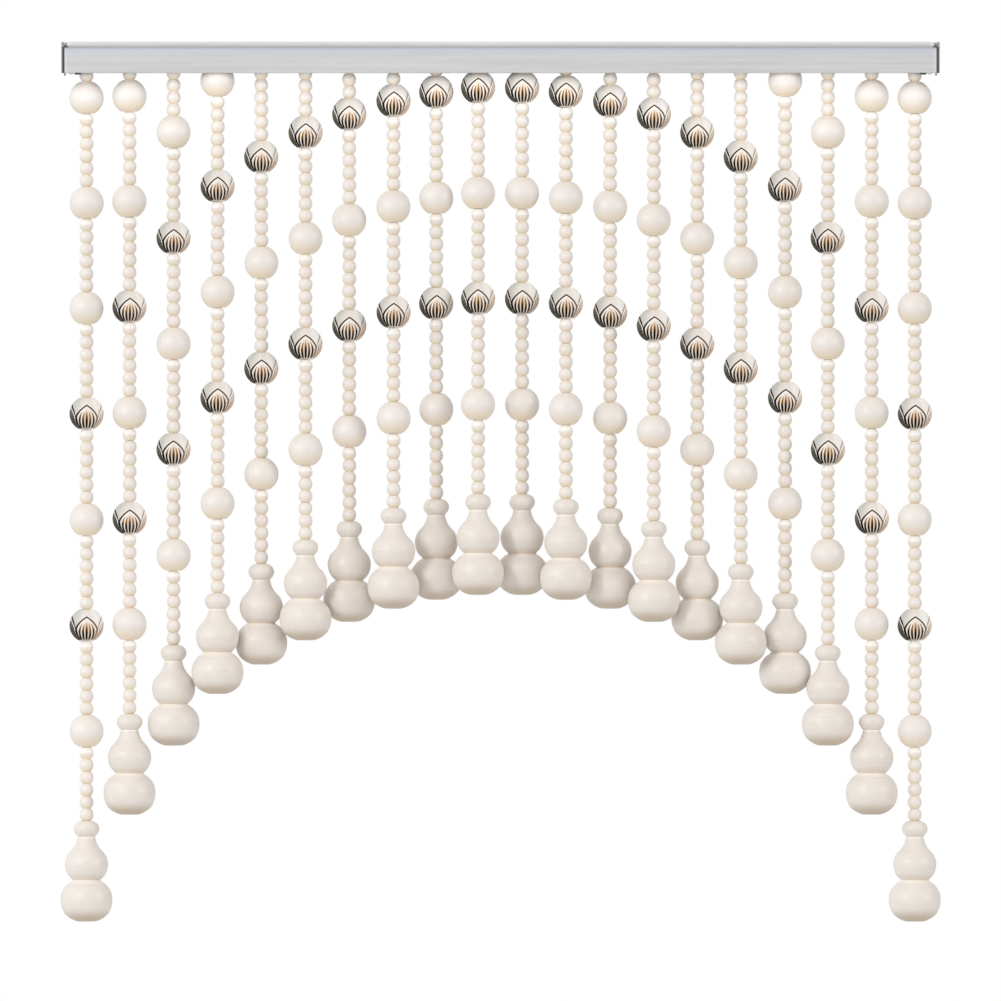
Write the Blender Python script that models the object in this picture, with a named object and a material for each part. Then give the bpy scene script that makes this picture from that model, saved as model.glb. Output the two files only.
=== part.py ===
"""Bead curtain with its rail: twenty strings of turned wooden beads, each ending in a gourd-shaped drop.

Metres, +Z up. The origin is the middle of the rail's flat top face, which is screwed up against a lintel. The
curtain's front looks along -Y. Strings are numbered 1 to 20 along +X, and string 21 - k is as long as string k, so
that the drops follow an arch.
"""

import math

import bmesh
import bpy

for old in list(bpy.data.objects):
    bpy.data.objects.remove(old, do_unlink=True)

# Rail: an aluminium channel, open below, with a slotted track under its top that holds the strings' buttons.
RAIL_LENGTH = 0.800  # over both end caps
RAIL_HALF_DEPTH = 0.0185
RAIL_HEIGHT = 0.0282
RAIL_WALL = 0.0017
RAIL_WEB = 0.0018
LIP_HEIGHT = 0.0052  # half-round moulding along the front's upper edge
LIP_PROUD = 0.0016
LIP_STEPS = 4
TRACK_OUTER_HALF = 0.0090
TRACK_INNER_HALF = 0.0074
TRACK_SLOT_HALF = 0.0026
TRACK_LEDGE_TOP = -0.0074
TRACK_LEDGE_UNDER = -0.0090

# End caps: a plate over the channel's end, with a tongue along each wall and a small foot under each tongue.
CAP_PLATE = 0.0027
CAP_TOP = -0.0002
TONGUE_LENGTH = 0.0153
TONGUE_Y = (0.0104, 0.0163)
TONGUE_Z = (-0.0024, -0.0276)
FOOT_LENGTH = 0.0060
FOOT_UNDER = -0.0296

GAP = 0.0003

# Strings and beads
STRAND_COUNT = 20
STRAND_PITCH = 0.0397
STRAND_SHIFTS = (
    # each string's button slides in the track, and rests this far off the even pitch
    0.0, -0.0005, -0.0001, 0.0003, 0.0004, 0.0010, 0.0011, 0.0018, 0.0010, -0.0006,
    -0.0002, 0.0, 0.0006, 0.0007, 0.0006, 0.0005, 0.0012, 0.0004, 0.0007, 0.0002,
)
STRING_RADIUS = 0.0009
BUTTON_RADIUS = 0.0066
BUTTON_TOP = -0.0032
BUTTON_UNDER = -0.0070  # a string swings about this height
TOP_BEAD_CLEARANCE = 0.0012  # between the track's underside and the highest bead
SMALL_RADIUS = 0.0064
SMALL_PITCH = 0.01125  # of the small beads above the highest large one
BIG_RADIUS = 0.0156
BIG_BELT = 0.0110  # height of the large bead's widest band
BIG_CENTRES = (0.0816, 0.1783, 0.2742, 0.3710, 0.4669, 0.5627, 0.6585)  # above the drop, six small beads apart
BIG_ENDS = {"plain": (0.0141, 0.0148), "carved": (0.0143, 0.0144)}  # below and above the widest place
CARVED = (1, 3)  # places of the carved beads, counted from the lowest large bead as 0
STRAND_SIDES = 8

# The outer half of the curtain, from the end towards the middle.
HALF = (
    # foot of the drop below the rail's top, large beads on the string
    {"drop": 0.8012, "big": 7},
    {"drop": 0.7038, "big": 6},
    {"drop": 0.6409, "big": 5},
    {"drop": 0.5938, "big": 5},
    {"drop": 0.5671, "big": 4},
    {"drop": 0.5450, "big": 4},
    {"drop": 0.5282, "big": 4},
    {"drop": 0.5162, "big": 4},
    {"drop": 0.5081, "big": 4},
    {"drop": 0.5037, "big": 4},
)

# Drop: a collar, a neck and two round bulbs, turned in one piece.
DROP_HEIGHT = 0.0917
DROP_SIDES = 8
DROP_RINGS = (
    # depth below the collar's top, radius
    {"name": "collar top", "depth": 0.0000, "radius": 0.0074},
    {"name": "collar", "depth": 0.0074, "radius": 0.0118},
    {"name": "groove", "depth": 0.0146, "radius": 0.0080},
    {"name": "neck", "depth": 0.0250, "radius": 0.0118},
    {"name": "upper bulb", "depth": 0.0388, "radius": 0.0197},
    {"name": "waist", "depth": 0.0540, "radius": 0.0127},
    {"name": "shoulder", "depth": 0.0615, "radius": 0.0210},
    {"name": "lower bulb", "depth": 0.0715, "radius": 0.0237},
    {"name": "under bulb", "depth": 0.0850, "radius": 0.0196},
    {"name": "foot", "depth": 0.0917, "radius": 0.0092},
)
DROP_CLEARANCE = 0.0020  # left between two neighbouring drops, counted between these straight-lined rings


def strand_row(number):
    return HALF[min(number, STRAND_COUNT + 1 - number) - 1]


def strand_x(number):
    even = (number - (STRAND_COUNT + 1) / 2) * STRAND_PITCH
    return even + STRAND_SHIFTS[number - 1]


def drop_radius(depth):
    """The drop's radius at a depth below its collar's top, and nothing above or below it."""
    for upper, lower in zip(DROP_RINGS, DROP_RINGS[1:]):
        if upper["depth"] <= depth <= lower["depth"]:
            part = (depth - upper["depth"]) / (lower["depth"] - upper["depth"])
            return upper["radius"] + part * (lower["radius"] - upper["radius"])
    return 0.0


def needed_slope(first, second):
    """How far two neighbouring strings swing apart, per metre below their buttons, for their wide drops to pass."""
    slope = 0.0
    steps = 400
    pitch = strand_x(second) - strand_x(first)
    tops = [row["drop"] - DROP_HEIGHT for row in (strand_row(first), strand_row(second))]
    for step in range(steps + 1):
        depth = min(tops) + step / steps * (max(tops) + DROP_HEIGHT - min(tops))
        radii = [drop_radius(depth - top) for top in tops]
        if not all(radii):
            continue
        apart = sum(radii) + DROP_CLEARANCE
        if apart > pitch:
            sideways = math.sqrt(apart**2 - pitch**2)
            slope = max(slope, sideways / (depth + BUTTON_UNDER))
    return slope


def swing(number):
    """A string's tilt about X. Odd ones lean back, and even ones forward, by half of what their neighbours need."""
    pairs = [
        (a, a + 1)
        for a in (number - 1, number)
        if 1 <= a and a + 1 <= STRAND_COUNT
    ]
    slope = max(needed_slope(*pair) for pair in pairs) / 2
    return math.atan(slope) * (1 if number % 2 else -1)


def finish(name, colour, roughness, metallic):
    material = bpy.data.materials.new(name)
    material.use_nodes = True
    shader = material.node_tree.nodes["Principled BSDF"]
    shader.inputs["Base Color"].default_value = (*colour, 1.0)
    shader.inputs["Roughness"].default_value = roughness
    shader.inputs["Metallic"].default_value = metallic
    material.diffuse_color = (*colour, 1.0)
    return material


def wood(name):
    return finish(name, (0.80, 0.73, 0.61), 0.5, 0.0)


def placed(name, mesh, material, parent=None):
    obj = bpy.data.objects.new(name, mesh)
    bpy.context.scene.collection.objects.link(obj)
    obj.parent = parent
    mesh.materials.append(material)
    return obj


def prism(name, outline, low, high, along):
    """A closed prism: the outline's pairs are (y, z) for a prism along X, or (x, z) for one along Y."""
    mesh = bpy.data.meshes.new(name)
    shape = bmesh.new()
    ends = {
        "X": lambda a, b: (low, a, b),
        "Y": lambda a, b: (a, low, b),
    }[along]
    face = shape.faces.new([shape.verts.new(ends(a, b)) for a, b in outline])
    grown = bmesh.ops.extrude_face_region(shape, geom=[face])
    moved = [item for item in grown["geom"] if isinstance(item, bmesh.types.BMVert)]
    shift = (high - low, 0, 0) if along == "X" else (0, high - low, 0)
    bmesh.ops.translate(shape, verts=moved, vec=shift)
    bmesh.ops.recalc_face_normals(shape, faces=shape.faces)
    shape.to_mesh(mesh)
    shape.free()
    return mesh


def turned(name, rings, sides, material, parent):
    """A solid turned about Z from (radius, z) pairs, which run down the outside from the axis to the axis."""
    mesh = bpy.data.meshes.new(name)
    mesh.from_pydata(
        [(radius, 0.0, z) for radius, z in rings],
        [(n, n + 1) for n in range(len(rings) - 1)],
        [],
    )
    obj = placed(name, mesh, material, parent)
    screw = obj.modifiers.new("Turn", "SCREW")
    screw.steps = sides
    screw.render_steps = sides
    screw.use_merge_vertices = True
    screw.merge_threshold = 0.00005
    screw.use_smooth_shade = True
    return obj


def front_outline():
    """The rail's front from its top edge round the half-round moulding and down to its lower edge."""
    points = []
    for step in range(LIP_STEPS + 1):
        angle = math.pi / 2 - math.pi * step / LIP_STEPS
        points.append(
            (
                -RAIL_HALF_DEPTH - LIP_PROUD * math.cos(angle),
                LIP_HEIGHT / 2 * (math.sin(angle) - 1),
            )
        )
    return points + [(-RAIL_HALF_DEPTH, -RAIL_HEIGHT)]


def rail_outline():
    inside = RAIL_HALF_DEPTH - RAIL_WALL
    half = [
        (inside, -RAIL_HEIGHT),
        (inside, -RAIL_WEB),
        (TRACK_OUTER_HALF, -RAIL_WEB),
        (TRACK_OUTER_HALF, TRACK_LEDGE_UNDER),
        (TRACK_SLOT_HALF, TRACK_LEDGE_UNDER),
        (TRACK_SLOT_HALF, TRACK_LEDGE_TOP),
        (TRACK_INNER_HALF, TRACK_LEDGE_TOP),
        (TRACK_INNER_HALF, -RAIL_WEB),
    ]
    return (
        [(RAIL_HALF_DEPTH, 0.0)]
        + front_outline()
        + [(-y, z) for y, z in half]
        + half[::-1]
        + [(RAIL_HALF_DEPTH, -RAIL_HEIGHT)]
    )


def add_rail():
    half = RAIL_LENGTH / 2 - CAP_PLATE - GAP
    placed(
        "rail",
        prism("rail", rail_outline(), -half, half, "X"),
        finish("rail_aluminium", (0.78, 0.79, 0.81), 0.35, 0.9),
    )


def add_end_cap(name, side):
    """The cap on the rail's end at side * X."""
    outer = side * RAIL_LENGTH / 2
    inner = outer - side * CAP_PLATE
    plate = [(RAIL_HALF_DEPTH, CAP_TOP)]
    plate += [(y, min(z, CAP_TOP)) for y, z in front_outline()]
    plate += [(RAIL_HALF_DEPTH, -RAIL_HEIGHT)]
    cap = placed(
        name,
        prism(name, plate, min(outer, inner), max(outer, inner), "X"),
        finish(name + "_plastic", (0.07, 0.07, 0.075), 0.45, 0.0),
    )
    end = inner - side * TONGUE_LENGTH
    heel = end + side * FOOT_LENGTH
    profile = [
        (inner + side * CAP_PLATE / 2, TONGUE_Z[0]),
        (inner + side * CAP_PLATE / 2, TONGUE_Z[1]),
        (heel, TONGUE_Z[1]),
        (heel, FOOT_UNDER),
        (end, FOOT_UNDER),
        (end, TONGUE_Z[0]),
    ]
    for wall, facing in (("front", -1), ("rear", 1)):
        low, high = sorted(facing * y for y in TONGUE_Y)
        label = f"{name}_{wall}_tongue"
        tongue = bpy.data.objects.new(label, prism(label, profile, low, high, "Y"))
        bpy.context.scene.collection.objects.link(tongue)
        tongue.hide_render = True
        tongue.display_type = "WIRE"
        join = cap.modifiers.new("Join " + wall, "BOOLEAN")
        join.operation = "UNION"
        join.solver = "EXACT"
        join.object = tongue


def strand_rings(number):
    """The string's outline from its button to just above its drop, measured from the button's underside."""
    row = strand_row(number)
    ledge = TRACK_LEDGE_UNDER - TOP_BEAD_CLEARANCE
    foot = -(row["drop"] - DROP_HEIGHT)
    rings = []
    rings += [(0.0, foot + GAP), (SMALL_RADIUS, foot + GAP)]
    for place, centre in enumerate(BIG_CENTRES[: row["big"]]):
        under, over = BIG_ENDS["carved" if place in CARVED else "plain"]
        middle = foot + centre
        rings += [
            (SMALL_RADIUS, middle - under),
            (BIG_RADIUS, middle - BIG_BELT / 2),
            (BIG_RADIUS, middle + BIG_BELT / 2),
            (SMALL_RADIUS, middle + over),
        ]
        z = middle + over
    above = int((ledge - z) / SMALL_PITCH)
    if above:
        z += above * SMALL_PITCH
        rings.append((SMALL_RADIUS, z))
    rings += [
        (STRING_RADIUS, z),
        (STRING_RADIUS, BUTTON_UNDER),
        (BUTTON_RADIUS, BUTTON_UNDER),
        (BUTTON_RADIUS, BUTTON_TOP),
        (0.0, BUTTON_TOP),
    ]
    return [(radius, height - BUTTON_UNDER) for radius, height in reversed(rings)]


def add_strand(number):
    label = f"{number:02d}"
    hook = bpy.data.objects.new("hook_" + label, None)
    bpy.context.scene.collection.objects.link(hook)
    hook.empty_display_size = 0.01
    hook.location = (strand_x(number), 0.0, BUTTON_UNDER)
    hook.rotation_euler = (swing(number), 0.0, 0.0)
    turned(
        "strand_" + label,
        strand_rings(number),
        STRAND_SIDES,
        wood("beads_" + label),
        hook,
    )
    rings = [(ring["radius"], -ring["depth"]) for ring in DROP_RINGS]
    rings = [(0.0, 0.0)] + rings + [(0.0, -DROP_HEIGHT)]
    drop = turned(
        "gourd_" + label, rings, DROP_SIDES, wood("gourd_wood_" + label), hook
    )
    drop.location = (0.0, 0.0, -(strand_row(number)["drop"] - DROP_HEIGHT) - BUTTON_UNDER)


add_rail()
add_end_cap("end_cap_left", -1)
add_end_cap("end_cap_right", 1)
for strand_number in range(1, STRAND_COUNT + 1):
    add_strand(strand_number)
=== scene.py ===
"""Bead curtain with its rail: the finished looks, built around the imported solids."""

import math

import bpy
import numpy as np
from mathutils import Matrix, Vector


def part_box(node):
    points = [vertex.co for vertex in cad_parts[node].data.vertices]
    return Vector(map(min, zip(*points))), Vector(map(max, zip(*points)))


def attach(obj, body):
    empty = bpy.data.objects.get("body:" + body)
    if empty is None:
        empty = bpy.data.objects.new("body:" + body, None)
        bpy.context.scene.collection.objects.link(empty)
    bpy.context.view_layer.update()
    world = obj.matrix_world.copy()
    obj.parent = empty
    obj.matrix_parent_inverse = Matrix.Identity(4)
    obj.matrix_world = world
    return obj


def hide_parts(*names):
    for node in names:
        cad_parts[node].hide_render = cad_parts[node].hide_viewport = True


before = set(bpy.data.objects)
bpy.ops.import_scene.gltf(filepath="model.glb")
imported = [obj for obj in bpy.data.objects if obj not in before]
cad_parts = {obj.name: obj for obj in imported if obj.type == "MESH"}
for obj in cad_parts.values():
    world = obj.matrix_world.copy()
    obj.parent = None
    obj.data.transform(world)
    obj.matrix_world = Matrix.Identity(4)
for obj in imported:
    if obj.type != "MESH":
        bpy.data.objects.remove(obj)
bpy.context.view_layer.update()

# ---------------------------------------------------------------- sizes, in metres, as in the solids
COUNT = 20
PITCH = 0.0397
SHIFTS = (
    # each string's button slides in the track, and rests this far off the even pitch
    0.0, -0.0005, -0.0001, 0.0003, 0.0004, 0.0010, 0.0011, 0.0018, 0.0010, -0.0006,
    -0.0002, 0.0, 0.0006, 0.0007, 0.0006, 0.0005, 0.0012, 0.0004, 0.0007, 0.0002,
)
HANG_Z = -0.0070  # a string swings about its button's underside
LEDGE_UNDER = -0.0090
TOP_CLEARANCE = 0.0012
SMALL_RADIUS = 0.0064
SMALL_PITCH = 0.01125  # above the highest large bead; elsewhere six of them fill the gap
SMALL_FLAT = 0.0038
BIG_RADIUS = 0.0156
BIG_ARC = 0.0158  # half height of the ellipsoid that a large bead is cut from
BIG_ENDS = {"plain": (0.0141, 0.0148), "carved": (0.0143, 0.0144)}  # below and above the widest place
BIG_CENTRES = (0.0816, 0.1783, 0.2742, 0.3710, 0.4669, 0.5627, 0.6585)  # above the drop's collar
BORE = 0.0009
STRING_DIAMETER = 0.0012
RUN = 6
DROP_HEIGHT = 0.0917
WIDEST_DEPTH = 0.0715  # of the drop's lower bulb, below its collar's top
RAIL_LENGTH = 0.800
RAIL_HALF_DEPTH = 0.0185
RAIL_HEIGHT = 0.0282
CAP_PLATE = 0.0027
PETALS = (
    # degrees on each side of a carved petal's middle, from the front one on; the two beside it run under its edges
    (42.0, 42.0), (31.0, 38.0), (34.5, 34.5), (34.5, 34.5), (38.0, 31.0),
)
CARVED = (1, 3)  # which large beads are carved, counted from the lowest as 0

HALF = (
    {"drop": 0.8012, "big": 7},
    {"drop": 0.7038, "big": 6},
    {"drop": 0.6409, "big": 5},
    {"drop": 0.5938, "big": 5},
    {"drop": 0.5671, "big": 4},
    {"drop": 0.5450, "big": 4},
    {"drop": 0.5282, "big": 4},
    {"drop": 0.5162, "big": 4},
    {"drop": 0.5081, "big": 4},
    {"drop": 0.5037, "big": 4},
)

rng = np.random.default_rng(20)

# ---------------------------------------------------------------- camera, first
MM_PER_PIXEL = 0.000911
DISTANCE = 36.0
camera_data = bpy.data.cameras.new("camera")
camera = bpy.data.objects.new("camera", camera_data)
bpy.context.scene.collection.objects.link(camera)
camera_data.sensor_width = 36.0
camera_data.lens = 36.0 * DISTANCE / (1001 * MM_PER_PIXEL)
camera_data.clip_start = 0.1
camera_data.clip_end = 100.0
camera.location = (0.0, -DISTANCE, -(500.5 - 42.0) * MM_PER_PIXEL)
camera.rotation_euler = (math.pi / 2, 0.0, 0.0)
bpy.context.scene.camera = camera


# ---------------------------------------------------------------- meshes from arrays
def mesh_object(name, points, quads, sharp=42.0, values=None, uv=None, tris=None):
    """One object from (n, 3) points and (m, 4) quads, with named per-point values and per-corner UVs."""
    mesh = bpy.data.meshes.new(name)
    points = np.ascontiguousarray(points, np.float32)
    mesh.vertices.add(len(points))
    mesh.vertices.foreach_set("co", points.ravel())
    corners = np.ascontiguousarray(quads, np.int32).ravel()
    starts = np.arange(0, len(corners), 4, dtype=np.int32)
    if tris is not None and len(tris):
        more = np.ascontiguousarray(tris, np.int32).ravel()
        starts = np.concatenate(
            [starts, len(corners) + np.arange(0, len(more), 3, dtype=np.int32)]
        )
        corners = np.concatenate([corners, more])
    mesh.loops.add(len(corners))
    mesh.loops.foreach_set("vertex_index", corners)
    mesh.polygons.add(len(starts))
    mesh.polygons.foreach_set("loop_start", starts)
    mesh.update(calc_edges=True)
    for key, array in (values or {}).items():
        attribute = mesh.attributes.new(key, "FLOAT", "POINT")
        attribute.data.foreach_set("value", np.ascontiguousarray(array, np.float32))
    if uv is not None:
        layer = mesh.uv_layers.new(name="carving")
        layer.data.foreach_set("uv", np.ascontiguousarray(uv, np.float32).ravel())
    mesh.validate()
    mesh.shade_smooth()
    mesh.set_sharp_from_angle(angle=math.radians(sharp))
    obj = bpy.data.objects.new(name, mesh)
    bpy.context.scene.collection.objects.link(obj)
    return obj


def ring_quads(rings, sides, closed):
    """Quads over rings x sides points, which run round each ring. closed joins the last ring to the first."""
    k = np.arange(rings if closed else rings - 1)[:, None]
    s = np.arange(sides)[None, :]
    here, there = k * sides, ((k + 1) % rings) * sides
    after = (s + 1) % sides
    return np.stack(
        [here + s, there + s, there + after, here + after], axis=-1
    ).reshape(-1, 4)


def lathe(profile, sides):
    """A ring-shaped solid from a closed (radius, z) profile that runs down its outside and up its bore."""
    profile = np.asarray(profile, float)
    turn = np.arange(sides) / sides * 2 * math.pi
    points = np.stack(
        [
            profile[:, :1] * np.cos(turn),
            profile[:, :1] * np.sin(turn),
            np.repeat(profile[:, 1:], sides, axis=1),
        ],
        axis=-1,
    ).reshape(-1, 3)
    return points, ring_quads(len(profile), sides, True)


def bead_profile(radius, arc, under, over, count, bore=BORE):
    """A bead cut from an ellipsoid, with flat ends so far under and over its widest place, and its bore."""
    turn = np.linspace(math.asin(over / arc), -math.asin(under / arc), count)
    outer = np.stack([radius * np.cos(turn), arc * np.sin(turn)], axis=-1)
    return np.concatenate([[[bore, over]], outer, [[bore, -under]]])


def turned_by(yaw, tilt_x, tilt_y):
    cz, sz = math.cos(yaw), math.sin(yaw)
    cx, sx = math.cos(tilt_x), math.sin(tilt_x)
    cy, sy = math.cos(tilt_y), math.sin(tilt_y)
    spin = np.array([[cz, -sz, 0], [sz, cz, 0], [0, 0, 1]])
    lean = np.array([[1, 0, 0], [0, cx, -sx], [0, sx, cx]]) @ np.array(
        [[cy, 0, sy], [0, 1, 0], [-sy, 0, cy]]
    )
    return lean @ spin


class Joined:
    """Copies of a few shapes gathered into one mesh."""

    def __init__(self):
        self.points, self.quads, self.uvs = [], [], []
        self.values = {"seed": [], "pole": [], "depth": []}
        self.count = 0

    def add(self, points, quads, matrix, shift, seed, pole, uv=None, depth=None):
        self.points.append(points @ matrix.T + shift)
        self.quads.append(quads + self.count)
        self.values["seed"].append(np.full(len(points), seed))
        self.values["pole"].append(pole)
        self.values["depth"].append(np.zeros(len(points)) if depth is None else depth)
        if uv is not None:
            self.uvs.append(uv)
        self.count += len(points)

    def object(self, name, swing, hook, sharp=42.0):
        """The gathered copies, swung about X and hung from the hook."""
        c, s = math.cos(swing), math.sin(swing)
        turn = np.array([[1, 0, 0], [0, c, -s], [0, s, c]])
        points = np.concatenate(self.points) @ turn.T + hook
        return mesh_object(
            name,
            points,
            np.concatenate(self.quads),
            sharp,
            {key: np.concatenate(rows) for key, rows in self.values.items()},
            np.concatenate(self.uvs) if self.uvs else None,
        )


# ---------------------------------------------------------------- one pattern, as numbers and as nodes
class Wire:
    """A node socket that arithmetic can be done on. Each operation adds a Math node."""

    def __init__(self, tree, socket):
        self.tree, self.socket = tree, socket

    def math(self, operation, *others, clamp=False):
        node = self.tree.nodes.new("ShaderNodeMath")
        node.operation = operation
        node.use_clamp = clamp
        for index, value in enumerate((self, *others)):
            if isinstance(value, Wire):
                self.tree.links.new(value.socket, node.inputs[index])
            else:
                node.inputs[index].default_value = value
        return Wire(self.tree, node.outputs[0])

    def __add__(self, other):
        return self.math("ADD", other)

    __radd__ = __add__

    def __mul__(self, other):
        return self.math("MULTIPLY", other)

    __rmul__ = __mul__

    def __sub__(self, other):
        return self.math("SUBTRACT", other)

    def __rsub__(self, other):
        return self.math("MULTIPLY", -1.0).math("ADD", other)

    def __truediv__(self, other):
        return self.math("DIVIDE", other)

    def __neg__(self):
        return self.math("MULTIPLY", -1.0)


def f_abs(x):
    return x.math("ABSOLUTE") if isinstance(x, Wire) else np.abs(x)


def f_power(x, power):
    return x.math("POWER", power) if isinstance(x, Wire) else np.power(x, power)


def f_exp(x):
    return x.math("EXPONENT") if isinstance(x, Wire) else np.exp(x)


def f_round(x):
    return x.math("ROUND") if isinstance(x, Wire) else np.floor(x + 0.5)


def f_low(x, limit):
    return x.math("MINIMUM", limit) if isinstance(x, Wire) else np.minimum(x, limit)


def f_high(x, limit):
    return x.math("MAXIMUM", limit) if isinstance(x, Wire) else np.maximum(x, limit)


def f_smooth(x, low, high):
    """0 below low and 1 above high, with a soft step between."""
    part = f_low(f_high((x - low) / (high - low), 0.0), 1.0)
    return part * part * (3.0 - 2.0 * part)


def petal_edge(share):
    """Latitude of a petal's pointed outline, by how far out it is from the petal's middle, 0 to 1."""
    return 28.6 - 28.7 * share - 16.2 * share * share * share


def groove_step(latitude):
    """Distance between two grooves, in 90ths of a petal. They draw together towards the petal's tip."""
    return f_high(16.6 * (1.0 - f_exp((latitude - 17.0) / 19.0)), 5.5)


def carving(offset, latitude):
    """Masks of the carved petals. offset runs from -45 to 45 across a petal, and latitude is in degrees."""
    aside = f_abs(offset)
    share = aside / 45.0
    steep = share * share
    across = (latitude - petal_edge(share)) / f_power(
        1.467 + 1.581 * steep + 1.339 * steep * steep, 0.5
    )
    outline = 1.0 - f_smooth(f_abs(across) / (0.92 + 0.24 * share), 2.0, 3.4)
    place = offset / groove_step(latitude)
    nearest = f_low(f_high(f_round(place), -2.0), 2.0)
    rank = f_abs(nearest)
    tip = 9.5 - 5.5 * f_low(rank, 1.0) + 2.5 * f_high(rank - 1.0, 0.0)
    under = tip - latitude
    taper = f_power(f_low(f_high(under / 24.0, 0.0), 1.0), 0.5)
    away = f_abs(place - nearest)
    half = 0.05 + 0.26 * taper
    groove = (1.0 - f_smooth(away - half, -0.05, 0.05)) * f_smooth(under, 0.0, 3.0)
    band = (1.0 - f_smooth(45.0 - aside, 4.4, 6.4)) * f_smooth(-latitude, 13.0, 18.0)
    foot = f_smooth(latitude, -61.0, -56.0)
    return {
        "outline": outline,
        "groove": groove * foot,
        "band": band * foot,
        "under": under + 5.0 * f_high(rank - 1.0, 0.0) - 6.0 * f_high(1.0 - f_abs(nearest - 1.0), 0.0),
        "across": across,
    }


# ---------------------------------------------------------------- shapes
SMALL_HALF = SMALL_PITCH / 2 - 0.00005
SMALL_ARC = SMALL_HALF / math.sin(math.acos(SMALL_FLAT / SMALL_RADIUS))
SMALL = lathe(bead_profile(SMALL_RADIUS, SMALL_ARC, SMALL_HALF, SMALL_HALF, 8), 20)
BIG = lathe(bead_profile(BIG_RADIUS, BIG_ARC, *(end - 0.00005 for end in BIG_ENDS["plain"]), 20), 36)


def carved_bead():
    """(points, quads, uv): grid lines follow the petals' outline and grooves, so that both stay crisp."""
    inner = [j + d for j in range(-2, 3) for d in (-0.5, -0.33, -0.21, 0.21, 0.33)]
    outer = [2.64, 2.79, 2.91]
    q = np.array([-3.0, *[-v for v in outer[::-1]], *inner, 2.5, *outer])
    under, over = (end - 0.00005 for end in BIG_ENDS["carved"])
    least, most = -math.degrees(math.asin(under / BIG_ARC)), math.degrees(math.asin(over / BIG_ARC))
    rows = []

    def longitude(latitude):
        step = float(groove_step(np.array(min(latitude, 6.0))))
        reach = 2.5 * step
        far = reach + (np.abs(q) - 2.5) / 0.5 * (45.0 - reach)
        return np.where(np.abs(q) <= 2.5, q * step, np.sign(q) * far)

    def edge(at):
        return petal_edge(np.abs(at) / 45.0)

    for latitude in (least, -61.5, -58.5, -55.5, -50.0, -44.0, -38.5, -34.0):
        at = longitude(latitude)
        rows.append((at, np.full(len(q), latitude)))
    for part in np.arange(1, 9) / 9:
        middle = -34.0 + part * (float(petal_edge(np.array(0.4))) - 7.0 + 34.0)
        at = longitude(middle)
        rows.append((at, -34.0 + part * (edge(at) - 7.0 + 34.0)))
    for lift in (-7.0, -4.0, -2.0, 0.0, 2.0, 4.0, 7.0):
        at = longitude(6.0)
        rows.append((at, edge(at) + lift))
    for part in np.arange(1, 7) / 6:
        at = longitude(6.0)
        rows.append((at, edge(at) + 7.0 + part * (most - edge(at) - 7.0)))
    offsets = np.array([row[0] for row in rows])
    latitudes = np.array([row[1] for row in rows])
    masks = carving(offsets, latitudes)
    depth = 0.0008 * np.maximum(masks["groove"], masks["band"])
    depth = np.maximum(depth, 0.0005 * masks["outline"])
    depth += 0.00012 * (f_smooth(masks["across"], 2.0, 5.0))
    depth *= f_smooth(most - latitudes, 1.0, 6.0) * f_smooth(latitudes - least, 1.0, 5.0)
    arc = np.radians(latitudes)
    radius = BIG_RADIUS * np.cos(arc) - depth * np.cos(arc)
    radius *= 1.0 - 0.12 * (1.0 - f_smooth(latitudes - least, 0.0, 5.0))
    height = BIG_ARC * np.sin(arc) - depth * np.sin(arc)
    rings, heights, longitudes, shares, lats = [], [], [], [], []
    middle = -90.0  # the first and widest petal looks along -Y
    part = np.abs(offsets) / 45.0
    for petal, (before, after) in enumerate(PETALS):
        middle += PETALS[petal - 1][1] + before if petal else 0.0
        reach = np.where(offsets < 0, before, after)
        pace = np.maximum(reach, 36.0)
        close = (part - 0.8) / 0.2 * (reach - 0.8 * pace) + 0.8 * pace
        upper = f_smooth(latitudes, -16.0, -6.0)
        rings.append(radius)
        heights.append(height)
        away = upper * np.where(part > 0.8, close, part * pace) + (1.0 - upper) * part * reach
        longitudes.append(np.sign(offsets) * away + middle)
        shares.append(offsets / 90.0 + 0.5 + petal)
        lats.append(latitudes)
    radius = np.concatenate(rings, axis=1)
    height = np.concatenate(heights, axis=1)
    turn = np.radians(np.concatenate(longitudes, axis=1))
    share = np.concatenate(shares, axis=1)
    lats = np.concatenate(lats, axis=1)
    bore = np.full((1, radius.shape[1]), BORE)
    radius = np.concatenate([bore, radius, bore])
    height = np.concatenate([0 * bore - under, height, 0 * bore + over])
    turn = np.concatenate([turn[:1], turn, turn[-1:]])
    share = np.concatenate([share[:1], share, share[-1:]])
    lats = np.concatenate([lats[:1], lats, lats[-1:]])
    points = np.stack(
        [radius * np.cos(turn), radius * np.sin(turn), height], axis=-1
    ).reshape(-1, 3)
    sides = radius.shape[1]
    quads = ring_quads(len(radius), sides, True)[:, ::-1]
    # U runs 0 to 5 round the bead, a petal's middle at every half; V is the latitude over 180 degrees.
    corner_col = quads % sides
    corner_row = quads // sides
    uu = share[corner_row, corner_col]
    wrapped = (corner_col.max(axis=1) - corner_col.min(axis=1)) > sides // 2
    first = corner_col == 0
    uu = np.where(wrapped[:, None] & first, uu + len(PETALS), uu)
    vv = lats[corner_row, corner_col] / 180.0 + 0.5
    return points, quads, np.stack([uu, vv], axis=-1)


CARVED_BEAD = carved_bead()

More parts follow.
